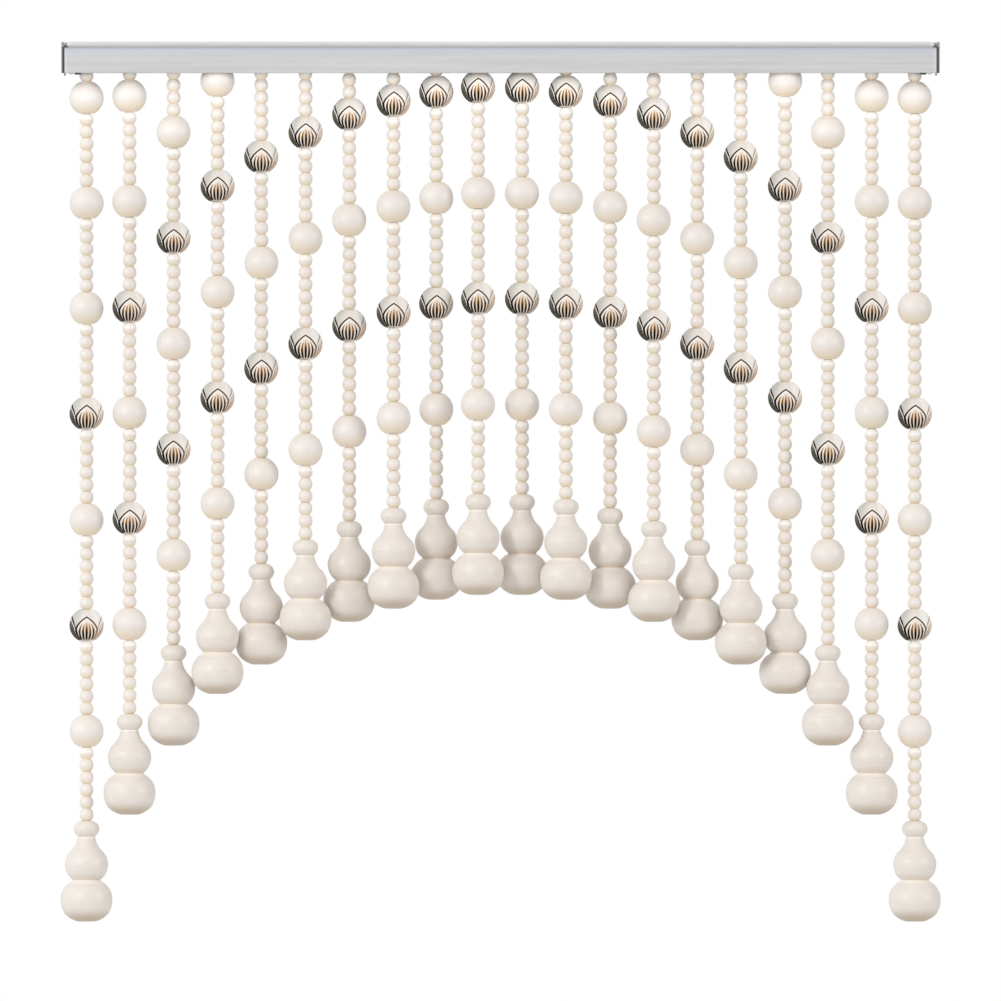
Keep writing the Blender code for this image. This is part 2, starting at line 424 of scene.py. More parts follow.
DROP_LINE = (
    # depth below the collar's top and radius, in millimetres
    (0.0, 5.2), (0.8, 7.5), (2.0, 9.3), (3.4, 10.6), (5.2, 11.4), (7.2, 11.75), (9.2, 11.5), (11.0, 10.7),
    (12.5, 9.6), (13.6, 8.6), (14.3, 7.9), (14.9, 7.9), (16.5, 8.35), (19.0, 9.0), (21.0, 9.8), (23.0, 10.8),
    (25.0, 12.05), (27.0, 13.85), (29.0, 15.85), (31.0, 17.3), (33.5, 18.5), (36.0, 19.35), (38.8, 19.75),
    (41.6, 19.55), (44.5, 19.0), (47.0, 18.1), (49.0, 17.1), (51.0, 15.6), (52.6, 13.9), (53.7, 12.8),
    (54.3, 12.7), (55.3, 14.2), (56.5, 16.1), (58.0, 17.8), (60.0, 19.6), (62.5, 21.4), (65.5, 22.8),
    (69.0, 23.5), (72.0, 23.7), (75.5, 23.4), (79.0, 22.6), (82.0, 21.3), (84.5, 20.0), (87.0, 17.4),
    (89.0, 14.6), (90.5, 11.6), (91.3, 9.4), (91.7, 7.6),
)


def drop_shape():
    line = [(BORE, -0.0003), (BORE + 0.0003, 0.0)]
    line += [(radius / 1000, -depth / 1000) for depth, radius in DROP_LINE]
    line += [
        (0.0030, -DROP_HEIGHT), (0.0026, -DROP_HEIGHT + 0.0004),
        (0.0026, -DROP_HEIGHT + 0.0046), (BORE, -DROP_HEIGHT + 0.0052),
    ]
    return lathe(line, 40)


DROP = drop_shape()

BUTTON = lathe(
    [
        (BORE, -0.0001 + 0.0010), (0.0022, 0.0010), (0.0026, 0.0024), (0.0032, 0.0036), (0.0058, 0.0036),
        (0.0064, 0.0033), (0.0066, 0.0027), (0.0066, 0.0009), (0.0064, 0.0003), (0.0058, 0.0), (BORE, 0.0),
    ],
    28,
)


def knot_shape():
    """A small overhand knot: a tube along a trefoil."""
    steps, sides = 30, 7
    turn = np.arange(steps) / steps * 2 * math.pi
    line = np.stack(
        [
            np.sin(turn) + 2 * np.sin(2 * turn),
            np.cos(turn) - 2 * np.cos(2 * turn),
            -1.35 * np.sin(3 * turn),
        ],
        axis=-1,
    ) * 0.00042
    ahead = np.roll(line, -1, axis=0) - np.roll(line, 1, axis=0)
    ahead /= np.linalg.norm(ahead, axis=1)[:, None]
    up = np.cross(ahead, np.array([0.3, 0.2, 0.93]))
    up /= np.linalg.norm(up, axis=1)[:, None]
    side = np.cross(ahead, up)
    round_ = np.arange(sides) / sides * 2 * math.pi
    points = (
        line[:, None, :]
        + STRING_DIAMETER / 2 * (
            np.cos(round_)[None, :, None] * up[:, None, :]
            + np.sin(round_)[None, :, None] * side[:, None, :]
        )
    ).reshape(-1, 3)
    return points, ring_quads(steps, sides, True)


KNOT = knot_shape()


# ---------------------------------------------------------------- materials
def new_material(name):
    material = bpy.data.materials.new(name)
    material.use_nodes = True
    tree = material.node_tree
    return material, tree, tree.nodes["Principled BSDF"]


def node(tree, kind, **settings):
    made = tree.nodes.new(kind)
    for key, value in settings.items():
        setattr(made, key, value)
    return made


def noise(tree, vector, scale, detail=3.0, rough=0.55, distortion=0.0):
    made = node(tree, "ShaderNodeTexNoise")
    tree.links.new(vector, made.inputs["Vector"])
    made.inputs["Scale"].default_value = scale
    made.inputs["Detail"].default_value = detail
    made.inputs["Roughness"].default_value = rough
    made.inputs["Distortion"].default_value = distortion
    return made.outputs["Fac"]


def stretched(tree, vector, scale):
    made = node(tree, "ShaderNodeMapping")
    tree.links.new(vector, made.inputs["Vector"])
    made.inputs["Scale"].default_value = scale
    return made.outputs["Vector"]


def ramp(tree, factor, *stops):
    made = node(tree, "ShaderNodeValToRGB")
    tree.links.new(factor, made.inputs["Fac"])
    elements = made.color_ramp.elements
    while len(elements) < len(stops):
        elements.new(0.5)
    for element, (position, colour) in zip(elements, stops):
        element.position = position
        element.color = (*colour, 1.0)
    return made.outputs["Color"]


def mix(tree, factor, first, second, blend="MIX"):
    made = node(tree, "ShaderNodeMix", data_type="RGBA", blend_type=blend)
    for socket, value in ((made.inputs["Factor"], factor), (made.inputs["A"], first), (made.inputs["B"], second)):
        if isinstance(value, Wire):
            value = value.socket
        if isinstance(value, bpy.types.NodeSocket):
            tree.links.new(value, socket)
        elif isinstance(value, tuple):
            socket.default_value = (*value, 1.0)
        else:
            socket.default_value = value
    return made.outputs["Result"]


def attribute(tree, name):
    made = node(tree, "ShaderNodeAttribute", attribute_name=name)
    return Wire(tree, made.outputs["Fac"])


def grain_space(tree):
    """Object coordinates, moved apart bead by bead, so that each bead has its own piece of grain."""
    where = node(tree, "ShaderNodeTexCoord").outputs["Object"]
    seed = attribute(tree, "seed")
    apart = node(tree, "ShaderNodeCombineXYZ")
    for index, amount in enumerate((3.1, 5.3, 1.7)):
        tree.links.new((seed * amount).socket, apart.inputs[index])
    added = node(tree, "ShaderNodeVectorMath", operation="ADD")
    tree.links.new(where, added.inputs[0])
    tree.links.new(apart.outputs[0], added.inputs[1])
    return added.outputs[0], seed


def bumped(tree, shader, height, strength, distance):
    made = node(tree, "ShaderNodeBump")
    made.inputs["Strength"].default_value = strength
    made.inputs["Distance"].default_value = distance
    tree.links.new(height, made.inputs["Height"])
    tree.links.new(made.outputs["Normal"], shader.inputs["Normal"])


PALE = (0.820, 0.767, 0.728)
CREAM = (0.806, 0.750, 0.704)
TAN = (0.690, 0.590, 0.480)
BRIGHT = (0.830, 0.779, 0.744)


def wood_colour(tree, space, seed, pole, fine, ends, tops):
    """Bleached wood: soft patches, long fibres, a tint of its own for each bead, warmer towards the bottom and tan
    towards the top.
    """
    patches = noise(tree, stretched(tree, space, (1.0, 1.0, 0.5)), 55.0, 2.0)
    base = ramp(tree, patches, (0.30, CREAM), (0.52, PALE), (0.78, BRIGHT))
    fibres = noise(tree, stretched(tree, space, (1.0, 1.0, 0.09)), fine, 4.0, 0.62, 0.3)
    lines = Wire(tree, fibres)
    base = mix(tree, f_smooth(lines, 0.52, 0.80) * 0.26, base, TAN)
    own = Wire(tree, ramp_value(tree, seed))
    base = mix(tree, own * 0.09, base, (0.765, 0.702, 0.629))
    base = mix(tree, f_smooth(-pole, 0.0, 0.95) * ends, base, (0.840, 0.680, 0.440))
    base = mix(tree, f_smooth(pole, 0.35, 1.0) * tops, base, (0.830, 0.705, 0.530))
    return base, fibres


def ramp_value(tree, seed):
    """A value from 0 to 1 that jumps from bead to bead."""
    made = node(tree, "ShaderNodeTexWhiteNoise", noise_dimensions="1D")
    tree.links.new(seed.socket, made.inputs["W"])
    return made.outputs["Value"]


def rough_and_bump(tree, shader, space, fibres, low, high, strength):
    rough = node(tree, "ShaderNodeMapRange")
    tree.links.new(fibres, rough.inputs["Value"])
    rough.inputs["From Min"].default_value = 0.3
    rough.inputs["From Max"].default_value = 0.75
    rough.inputs["To Min"].default_value = low
    rough.inputs["To Max"].default_value = high
    tree.links.new(rough.outputs["Result"], shader.inputs["Roughness"])
    pores = noise(tree, stretched(tree, space, (1.0, 1.0, 0.16)), 2600.0, 2.0, 0.6)
    both = Wire(tree, fibres) * 0.7 + Wire(tree, pores) * 0.3
    bumped(tree, shader, both.socket, strength, 0.00025)


def wood(name, fine=520.0, strength=0.30, ends=0.62, tops=0.30, cream=0.0, turned_creases=False):
    material, tree, shader = new_material(name)
    space, seed = grain_space(tree)
    pole = attribute(tree, "pole")
    colour, fibres = wood_colour(tree, space, seed, pole, fine, ends, tops)
    if cream:
        colour = mix(tree, cream, colour, (0.745, 0.680, 0.605))
    if not turned_creases:
        # The bead that a large one rests on gets a pale top, a painted light that lifts the shade under the large bead.
        seat = attribute(tree, "depth") * f_smooth(pole, -0.2, 0.25)
        colour = mix(tree, seat * 0.85, colour, (0.985, 0.945, 0.900))
    else:
        # Fine rings that the lathe left.
        turning = Wire(tree, noise(tree, stretched(tree, space, (0.22, 0.22, 2.2)), 330.0, 3.0))
        colour = mix(tree, f_smooth(turning, 0.48, 0.74) * 0.24, colour, (0.640, 0.540, 0.440))
        # Just below the waist and the collar a painted highlight makes the wood pale where it faces up, and just above
        # them painted shade darkens it.
        depth = attribute(tree, "depth")
        for at, dark, light in ((54.0, 6.6, 5.0), (14.6, 2.2, 1.8)):
            above = f_smooth(depth, at - dark, at - 0.2) * (1.0 - f_smooth(depth, at - 0.1, at + 0.2))
            below = f_smooth(depth, at - 0.2, at + 0.3) * (1.0 - f_smooth(depth, at + 0.3, at + light))
            colour = mix(tree, above * 0.48, colour, (0.660, 0.530, 0.400))
            colour = mix(tree, below * 0.85, colour, (0.985, 0.930, 0.850))
        # Painted shade darkens the drop towards its foot.
        colour = mix(tree, f_smooth(depth, 78.5, 90.5) * 0.85, colour, (0.520, 0.410, 0.290))
    tree.links.new(colour, shader.inputs["Base Color"])
    rough_and_bump(tree, shader, space, fibres, 0.34, 0.48, strength)
    shader.inputs["Specular IOR Level"].default_value = 0.62
    return material


def carved_wood():
    """The bleached wood, with the petals' outline and grooves stained from brown to nearly black, and painted light and
    shade that leave the carving darker at the left and paler at the right.
    """
    material, tree, shader = new_material("carved_wood")
    space, seed = grain_space(tree)
    pole = attribute(tree, "pole")
    colour, fibres = wood_colour(tree, space, seed, pole, 520.0, 0.0, 0.2)
    uv = node(tree, "ShaderNodeUVMap", uv_map="carving")
    split = node(tree, "ShaderNodeSeparateXYZ")
    tree.links.new(uv.outputs["UV"], split.inputs[0])
    u, v = Wire(tree, split.outputs[0]), Wire(tree, split.outputs[1])
    offset = (u.math("FRACT") - 0.5) * 90.0
    latitude = (v - 0.5) * 180.0
    masks = carving(offset, latitude)
    side = ((u - 0.5) * (math.pi * 2 / len(PETALS))).math("SINE")  # -1 at the left, 1 at the right
    right = f_smooth(side, 0.36, 0.80)
    left = f_smooth(-side, 0.0, 0.80)
    far_left, far_right = f_smooth(-side, 0.60, 0.70), f_smooth(side, 0.60, 0.70)
    smudge = Wire(tree, noise(tree, space, 420.0, 3.0, 0.6))
    # Above the petals the wood is a little grey all round; painted shade greys it much more at the left, and a painted
    # light makes it paler at the right.
    above = f_smooth(masks["across"], 2.0, 6.0)
    colour = mix(tree, above * (0.16 + 0.74 * left), colour, (0.520, 0.515, 0.475))
    colour = mix(tree, above * f_smooth(side, 0.15, 0.6) * 0.75, colour, (0.960, 0.930, 0.895))
    # A pale rim on both sides of each outline, and pinkish ribs below.
    rim = f_smooth(-masks["across"], 2.4, 3.8) * (1.0 - f_smooth(-masks["across"], 7.0, 10.5))
    edge = f_smooth(masks["across"], 3.2, 4.0) * (1.0 - f_smooth(masks["across"], 4.6, 6.4))
    colour = mix(tree, rim.math("MAXIMUM", edge * (1.0 - left)) * 0.8, colour, (0.900, 0.845, 0.780))
    # At the right the rim is paler still, a painted highlight.
    colour = mix(tree, rim * f_smooth(side, 0.30, 0.50) * 0.8, colour, (0.985, 0.945, 0.900))
    ribs = f_smooth(-masks["across"], 9.0, 14.0)
    middle = 1.0 - f_smooth(f_abs(offset), 7.0, 17.0)
    colour = mix(tree, ribs * 0.8, colour, (0.930, 0.845, 0.750))
    colour = mix(tree, ribs * middle * 0.5, colour, (0.660, 0.490, 0.340))
    # Low on the bead painted shade leaves the ribs greyish, more so at the left and less at the right.
    painted_low_shade = 1.0 - f_smooth(latitude, -58.0, -22.0)
    colour = mix(tree, painted_low_shade * (0.42 + 0.28 * left - 0.36 * f_smooth(side, 0.15, 0.42)), colour, (0.400, 0.350, 0.280))
    # The petals at the far left are greyish and, towards their middles, nearly black inside their rims, partly stain
    # and partly painted shade; those at the far right are tan.
    inside = f_smooth(-masks["across"], 6.0, 9.0)
    inner = f_smooth(45.0 - f_abs(offset), 8.0, 14.0)
    colour = mix(tree, inside * far_left * (1.0 - inner) * 0.45, colour, (0.300, 0.280, 0.220))
    colour = mix(tree, inside * inner * far_left * 0.92, colour, (0.110, 0.105, 0.080))
    colour = mix(tree, f_smooth(-masks["across"], 11.0, 15.0) * far_right * 0.25, colour, (0.740, 0.590, 0.440))
    # The stain pools low in the grooves and has worn back to brown near their tips; at the right a painted light makes
    # it paler, tan and thinner, and at the far left painted shade makes it black.
    stain = masks["groove"].math("MAXIMUM", masks["band"])
    depth = f_smooth(masks["under"] + (smudge - 0.5) * 12.0, 4.0, 38.0)
    brown = mix(tree, right, (0.380, 0.180, 0.040), (0.620, 0.360, 0.160))
    dark = mix(tree, right, (0.012, 0.007, 0.003), (0.300, 0.140, 0.050))
    stain_and_painted_light = mix(tree, depth.math("MAXIMUM", far_left), brown, dark)
    colour = mix(tree, stain * (1.0 - 0.25 * right), colour, stain_and_painted_light)
    # The outline is near black low on the bead and dark brown higher up; towards the right a painted light makes it
    # paler and browner.
    low = 1.0 - f_smooth(latitude, -10.0, 16.0)
    line = mix(tree, low, (0.042, 0.021, 0.007), (0.010, 0.005, 0.001))
    line = mix(tree, f_smooth(side, 0.05, 0.50) * 0.40, line, (0.300, 0.190, 0.110))
    line = mix(tree, far_right * 0.8, line, (0.400, 0.270, 0.170))
    broad = (1.0 - f_smooth(f_abs(masks["across"]), 3.0, 4.8)) * f_smooth(-side, 0.30, 0.60)
    wide = (1.0 - f_smooth(45.0 - f_abs(offset), 5.8, 7.8)) * f_smooth(-latitude, 11.0, 16.0)
    wide = wide * f_smooth(-side, 0.30, 0.60) * f_smooth(latitude, -61.0, -56.0)
    stroke = (masks["outline"] * (1.0 - 0.20 * right)).math("MAXIMUM", broad).math("MAXIMUM", wide)
    colour = mix(tree, stroke, colour, line)
    tree.links.new(colour, shader.inputs["Base Color"])
    rough_and_bump(tree, shader, space, fibres, 0.42, 0.62, 0.30)
    dull = stain.math("MAXIMUM", inside * inner * far_left).math("MAXIMUM", masks["outline"])
    tree.links.new((0.30 - 0.29 * dull).socket, shader.inputs["Specular IOR Level"])
    return material


def cord_material():
    """Waxed twisted cord: the twist shows as slanting bands."""
    material, tree, shader = new_material("string_cord")
    where = node(tree, "ShaderNodeTexCoord").outputs["Object"]
    wave = node(tree, "ShaderNodeTexWave", wave_type="BANDS", bands_direction="DIAGONAL")
    tree.links.new(where, wave.inputs["Vector"])
    wave.inputs["Scale"].default_value = 420.0
    wave.inputs["Distortion"].default_value = 1.0
    colour = ramp(tree, wave.outputs["Fac"], (0.2, (0.52, 0.46, 0.37)), (0.8, (0.80, 0.75, 0.65)))
    tree.links.new(colour, shader.inputs["Base Color"])
    shader.inputs["Roughness"].default_value = 0.6
    bumped(tree, shader, wave.outputs["Fac"], 0.6, 0.0002)
    return material


def button_material():
    material, tree, shader = new_material("button_plastic")
    where = node(tree, "ShaderNodeTexCoord").outputs["Object"]
    grit = noise(tree, where, 1500.0, 3.0)
    colour = ramp(tree, grit, (0.3, (0.74, 0.73, 0.70)), (0.7, (0.80, 0.80, 0.77)))
    tree.links.new(colour, shader.inputs["Base Color"])
    shader.inputs["Roughness"].default_value = 0.45
    bumped(tree, shader, grit, 0.15, 0.0001)
    return material


def rail_material():
    """Satin anodised aluminium, finely brushed along the rail."""
    material, tree, shader = new_material("rail_aluminium")
    where = node(tree, "ShaderNodeTexCoord").outputs["Object"]
    streaks = noise(tree, stretched(tree, where, (0.012, 1.0, 1.0)), 2200.0, 5.0, 0.7)
    broad = noise(tree, stretched(tree, where, (0.02, 1.0, 1.0)), 260.0, 2.0, 0.5)
    cloudy = noise(tree, stretched(tree, where, (0.5, 1.0, 1.0)), 14.0, 2.0)
    both = Wire(tree, streaks) * 0.5 + Wire(tree, broad) * 0.5
    colour = ramp(tree, both.socket, (0.32, (0.66, 0.665, 0.675)), (0.50, (0.745, 0.745, 0.745)), (0.68, (0.81, 0.81, 0.805)))
    colour = mix(tree, Wire(tree, cloudy) * 0.25, colour, (0.77, 0.745, 0.735))
    split = node(tree, "ShaderNodeSeparateXYZ")
    tree.links.new(where, split.inputs[0])
    z = Wire(tree, split.outputs[2]) * 1000.0
    # A little bluer under the moulding, a painted reflection.
    blue = f_smooth(z, -13.5, -9.0) * (1.0 - f_smooth(z, -5.4, -5.1))
    colour = mix(tree, blue * 0.60, colour, (0.70, 0.74, 0.86))
    # Near each end a narrow strip of the face is paler and bluer, and the moulding's mitre is brightest, a painted
    # highlight.
    out = f_abs(Wire(tree, split.outputs[0])) * 1000.0
    strip = f_smooth(out, 394.2, 394.9) * f_smooth(z, -28.1, -27.6) * (1.0 - f_smooth(z, -6.2, -5.6))
    colour = mix(tree, strip * 0.35, colour, (0.92, 0.94, 0.98))
    mitre = f_smooth(out, 390.6, 391.6) * f_smooth(z, -3.4, -2.4)
    colour = mix(tree, mitre * 0.40, colour, (0.97, 0.97, 0.97))
    # Painted shade darkens the moulding's lower half and the corner under it.
    painted_lip_shade = f_smooth(z, -8.2, -5.6) * (1.0 - f_smooth(z, -4.4, -2.6))
    colour = mix(tree, painted_lip_shade * 0.36, colour, (0.42, 0.42, 0.43))
    tree.links.new(colour, shader.inputs["Base Color"])
    shader.inputs["Metallic"].default_value = 0.85
    rough = node(tree, "ShaderNodeMapRange")
    tree.links.new(streaks, rough.inputs["Value"])
    rough.inputs["From Min"].default_value = 0.3
    rough.inputs["From Max"].default_value = 0.7
    rough.inputs["To Min"].default_value = 0.34
    rough.inputs["To Max"].default_value = 0.50
    tree.links.new(rough.outputs["Result"], shader.inputs["Roughness"])
    bumped(tree, shader, streaks, 0.12, 0.0001)
    return material


def cap_material():
    """Moulded charcoal plastic, mottled paler along its outer edge, and paler on its top, a painted highlight."""
    material, tree, shader = new_material("cap_plastic")
    where = node(tree, "ShaderNodeTexCoord").outputs["Object"]
    grit = noise(tree, where, 1800.0, 3.0)
    colour = ramp(tree, grit, (0.3, (0.050, 0.050, 0.053)), (0.7, (0.075, 0.075, 0.079)))
    split = node(tree, "ShaderNodeSeparateXYZ")
    tree.links.new(where, split.inputs[0])
    out = f_abs(Wire(tree, split.outputs[0])) * 1000.0
    z = Wire(tree, split.outputs[2]) * 1000.0
    mottle = Wire(tree, noise(tree, where, 700.0, 4.0, 0.7))
    edge = f_smooth(out, 398.9, 399.4) * (0.6 + 0.4 * mottle)
    # The top is paler, a painted highlight.
    top = f_smooth(z, -5.6, -4.4) * f_smooth(out, 396.8, 397.2) * (0.25 + 0.75 * mottle)
    colour = mix(tree, top, colour, (0.44, 0.44, 0.44))
    colour = mix(tree, edge, colour, (0.45, 0.45, 0.45))
    tree.links.new(colour, shader.inputs["Base Color"])
    shader.inputs["Roughness"].default_value = 0.5
    bumped(tree, shader, grit, 0.2, 0.0001)
    return material


WOOD = wood("bead_wood")
SMALL_WOOD = wood("small_bead_wood", 520.0, 0.30, 0.62, 0.50)
GOURD_WOOD = wood("gourd_wood", 430.0, 0.26, 0.0, 0.20, 0.45, True)
CARVED_WOOD = carved_wood()
CORD = cord_material()
BUTTON_PLASTIC = button_material()
ALUMINIUM = rail_material()
CAP_PLASTIC = cap_material()


def dress(obj, material, replaced=None):
    obj.data.materials.append(material)
    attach(obj, "root")
    if replaced:
        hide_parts(replaced)
    return obj


# ---------------------------------------------------------------- strings of beads
BEADS = bpy.data.collections.new("beads")


def add_string(number):
    row = HALF[min(number, COUNT + 1 - number) - 1]
    label = f"{number:02d}"
    x = (number - (COUNT + 1) / 2) * PITCH + SHIFTS[number - 1]
    low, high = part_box("gourd_" + label)
    arm = row["drop"] - DROP_HEIGHT + WIDEST_DEPTH + HANG_Z
    swing = math.asin(((low.y + high.y) / 2) / arm)
    hook = np.array([x, 0.0, HANG_Z])

    def local(z):
        return z - HANG_Z

    def swung(z):
        return Vector(
            (x, -math.sin(swing) * local(z), HANG_Z + math.cos(swing) * local(z))
        )

    small, big, carved = Joined(), Joined(), Joined()
    foot = -(row["drop"] - DROP_HEIGHT)

    def add_small(z, pitch, tinted=1.0):
        matrix = turned_by(rng.uniform(0, 6.28), *np.radians(rng.uniform(-1.3, 1.3, 2)))
        scale = 1.0 + rng.uniform(-0.012, 0.006)
        points = SMALL[0] * np.array([scale, scale, pitch / SMALL_PITCH])
        shift = np.array([*rng.uniform(-0.00012, 0.00012, 2), local(z)])
        pole = np.minimum(SMALL[0][:, 2] / SMALL_HALF, tinted)
        seat = np.full(len(pole), 1.0 if tinted < 1.0 else 0.0)
        small.add(points, SMALL[1], matrix, shift, rng.uniform(0, 40), pole, depth=seat)

    z = foot
    for index, centre in enumerate(BIG_CENTRES[: row["big"]]):
        is_carved = index in CARVED
        under, over = BIG_ENDS["carved" if is_carved else "plain"]
        middle = foot + centre
        pitch = (middle - under - z) / RUN
        for n in range(RUN):
            add_small(z + (n + 0.5) * pitch, pitch, 0.3 if n == RUN - 1 else 1.0)
        shift = np.array([*rng.uniform(-0.0001, 0.0001, 2), local(middle)])
        if is_carved:
            points, quads, uv = CARVED_BEAD
            matrix = turned_by(
                math.radians(rng.uniform(0.3, 2.9)), *np.radians(rng.uniform(-0.5, 0.5, 2))
            )
            carved.add(
                points, quads, matrix, shift, rng.uniform(0, 40), points[:, 2] / over, uv
            )
        else:
            points, quads = BIG
            matrix = turned_by(rng.uniform(0, 6.28), *np.radians(rng.uniform(-0.6, 0.6, 2)))
            scale = 1.0 + rng.uniform(-0.010, 0.0)
            big.add(
                points * np.array([scale, scale, 1.0]), quads, matrix, shift, rng.uniform(0, 40),
                points[:, 2] / under,
            )
        z = middle + over
    for n in range(int((LEDGE_UNDER - TOP_CLEARANCE - z) / SMALL_PITCH)):
        add_small(z + (n + 0.5) * SMALL_PITCH, SMALL_PITCH)

    pieces = [
        dress(small.object("small_beads_" + label, swing, hook, 30.0), SMALL_WOOD, "strand_" + label),
        dress(big.object("large_beads_" + label, swing, hook, 18.0), WOOD),
        dress(carved.object("carved_beads_" + label, swing, hook, 60.0), CARVED_WOOD),
    ]
    for piece in pieces:
        BEADS.objects.link(piece)
    drop = Joined()
    drop.add(
        DROP[0], DROP[1], turned_by(rng.uniform(0, 6.28), 0, 0), np.array([0, 0, local(foot)]),
        rng.uniform(0, 40), np.interp(-DROP[0][:, 2] / DROP_HEIGHT, (0, 0.1, 0.80, 1.0), (0.8, 0, 0, -1.0)),
        depth=-1000 * DROP[0][:, 2],
    )
    pieces.append(dress(drop.object("drop_" + label, swing, hook, 50.0), GOURD_WOOD, "gourd_" + label))
    button = Joined()
    button.add(BUTTON[0], BUTTON[1], np.eye(3), np.array([0, 0, 0.0]), 0.0, BUTTON[0][:, 2])
    pieces.append(dress(button.object("button_" + label, swing, hook), BUTTON_PLASTIC))
    knots = Joined()
    top, bottom = HANG_Z + 0.0022, -row["drop"] + 0.0024
    for height in (top, bottom):
        knots.add(
            KNOT[0], KNOT[1], turned_by(rng.uniform(0, 6.28), 0, 0), np.array([0, 0, local(height)]), 0.0, KNOT[0][:, 2]
        )
    pieces.append(dress(knots.object("knots_" + label, swing, hook, 80.0), CORD))

    curve = bpy.data.curves.new("string_" + label, "CURVE")
    curve.dimensions = "3D"
    curve.bevel_depth = STRING_DIAMETER / 2
    curve.bevel_resolution = 2
    curve.use_fill_caps = True
    spline = curve.splines.new("POLY")
    steps = 16
    spline.points.add(steps)
    for n in range(steps + 1):
        spline.points[n].co = (*swung(top + (bottom - top) * n / steps), 1.0)
    string = bpy.data.objects.new("string_" + label, curve)
    bpy.context.scene.collection.objects.link(string)
    dress(string, CORD)
    tuple(swung(LEDGE_UNDER))


# ---------------------------------------------------------------- rail and end caps
def rounded(corners, radius, steps=3):
    """The outline with each corner rounded by so much, or by less where an edge is short."""
    corners = np.asarray(corners, float)
    out = []
    for n, corner in enumerate(corners):
        before, after = corners[n - 1] - corner, corners[(n + 1) % len(corners)] - corner
        long_before, long_after = np.linalg.norm(before), np.linalg.norm(after)
        cut = min(radius, long_before * 0.4, long_after * 0.4)
        a, b = corner + before / long_before * cut, corner + after / long_after * cut
        for step in range(steps + 1):
            t = step / steps
            out.append((1 - t) ** 2 * a + 2 * t * (1 - t) * corner + t * t * b)
    return np.array(out)


def prism_object(name, outline, low, high, along, sharp=35.0, ease=0.0):
    """A closed prism over an outline of (y, z) pairs for one along X, or of (x, z) pairs for one along Y."""
    import bmesh

    outline = np.asarray(outline, float)
    shape = bmesh.new()
    if along == "X":
        first = [shape.verts.new((low, a, b)) for a, b in outline]
        second = [shape.verts.new((high, a, b)) for a, b in outline]
    else:
        first = [shape.verts.new((a, low, b)) for a, b in outline]
        second = [shape.verts.new((a, high, b)) for a, b in outline]
    shape.faces.new(first)
    shape.faces.new(second[::-1])
    for n in range(len(first)):
        m = (n + 1) % len(first)
        shape.faces.new((first[n], first[m], second[m], second[n]))
    bmesh.ops.recalc_face_normals(shape, faces=shape.faces)
    if ease:
        ends = [e for e in shape.edges if (e.verts[0] in first) == (e.verts[1] in first)]
        bmesh.ops.bevel(
            shape, geom=ends, offset=ease, segments=2, affect="EDGES", profile=0.5, clamp_overlap=True
        )
    mesh = bpy.data.meshes.new(name)
    shape.to_mesh(mesh)
    shape.free()
    mesh.shade_smooth()
    mesh.set_sharp_from_angle(angle=math.radians(sharp))
    obj = bpy.data.objects.new(name, mesh)
    bpy.context.scene.collection.objects.link(obj)
    return obj


LIP_HEIGHT, LIP_PROUD = 0.0052, 0.0016


def front_line(steps=12):
    points = []
    for step in range(steps + 1):
        angle = math.pi / 2 - math.pi * step / steps
        points.append(
            (
                -RAIL_HALF_DEPTH - LIP_PROUD * math.cos(angle),
                LIP_HEIGHT / 2 * (math.sin(angle) - 1),
            )
        )
    return points


def rail_outline():
    inside, foot = RAIL_HALF_DEPTH - 0.0017, -RAIL_HEIGHT
    half = [
        (inside, foot), (inside, -0.0018), (0.0090, -0.0018), (0.0090, -0.0090), (0.0026, -0.0090),
        (0.0026, -0.0074), (0.0074, -0.0074), (0.0074, -0.0018),
    ]
    rear = [(RAIL_HALF_DEPTH, foot), (RAIL_HALF_DEPTH, 0.0)]
    corners = [(-RAIL_HALF_DEPTH, foot)] + [(-y, z) for y, z in half] + half[::-1] + rear
    eased = rounded(corners, 0.00035, 2)
    return np.concatenate([front_line(), eased])


def add_rail():
    half = RAIL_LENGTH / 2 - CAP_PLATE - 0.0003
    rail = prism_object("rail_channel", rail_outline(), -half, half, "X", 30.0)
    dress(rail, ALUMINIUM, "rail")


